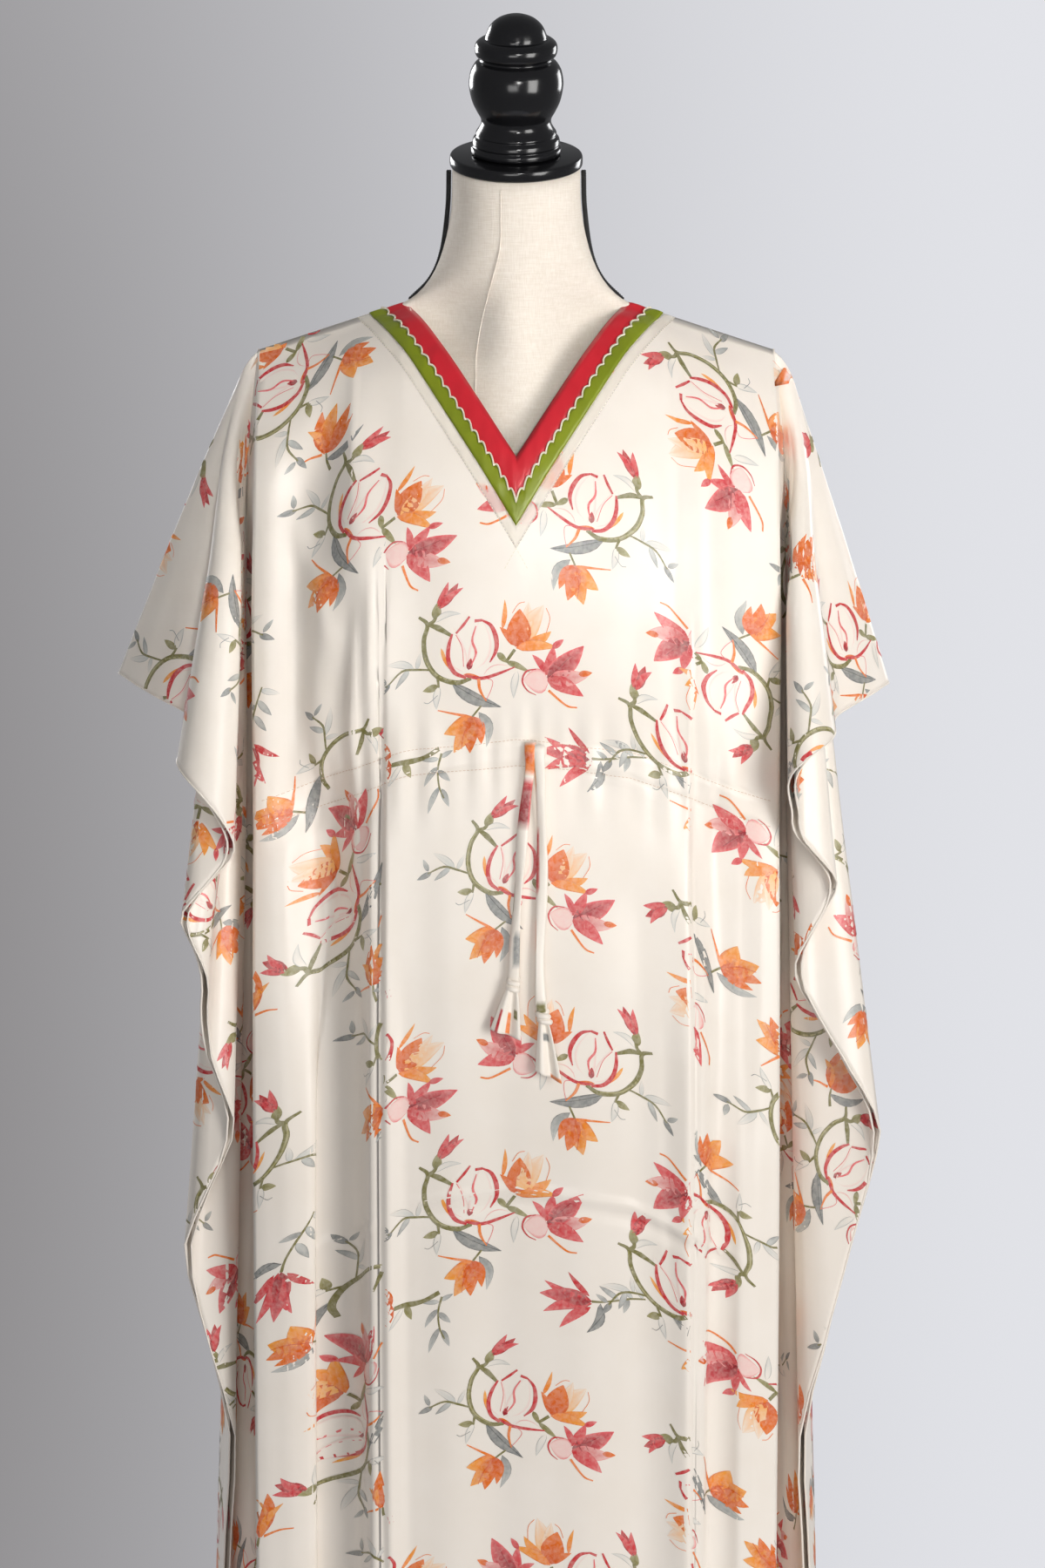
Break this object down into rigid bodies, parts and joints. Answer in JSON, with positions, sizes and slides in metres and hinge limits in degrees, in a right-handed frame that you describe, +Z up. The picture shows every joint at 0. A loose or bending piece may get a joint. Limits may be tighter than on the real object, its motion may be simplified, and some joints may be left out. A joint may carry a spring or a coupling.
{
  "type": "kaftan on a dress form",
  "caption": "V-neck kaftan with wide draped sides, satin neck bands and waist drawstring ends, worn by a limbless dress form with a neck cap, finial, pole and round base.",
  "frame": {"origin": "centre of the round base's underside, on the floor", "axes": "+Z up, -Y towards the front of the kaftan, +X to the viewer's right"},
  "size_m": [0.624, 0.38, 1.7158],
  "materials": {
    "printed_satin": "printed satin",
    "red_satin": "satin",
    "green_satin": "satin",
    "cream_piping": "corded",
    "linen_cover": "plain weave",
    "black_braid": "braided",
    "black_wood": "gloss paint"
  },
  "bodies": {
    "root": {"front_panel": "printed_satin", "back_panel": "printed_satin", "drawstring_casing": "printed_satin", "drawstring_end_short": "printed_satin", "drawstring_end_long": "printed_satin", "red_neck_band": "red_satin", "green_scalloped_band": "green_satin", "cream_scalloped_piping": "cream_piping", "dress_form": "linen_cover", "side_cord_left": "black_braid", "side_cord_right": "black_braid", "neck_cap_disc": "black_wood", "turned_finial": "black_wood", "stand_pole": "black_wood", "round_base": "black_wood"}
  },
  "joints": []
}
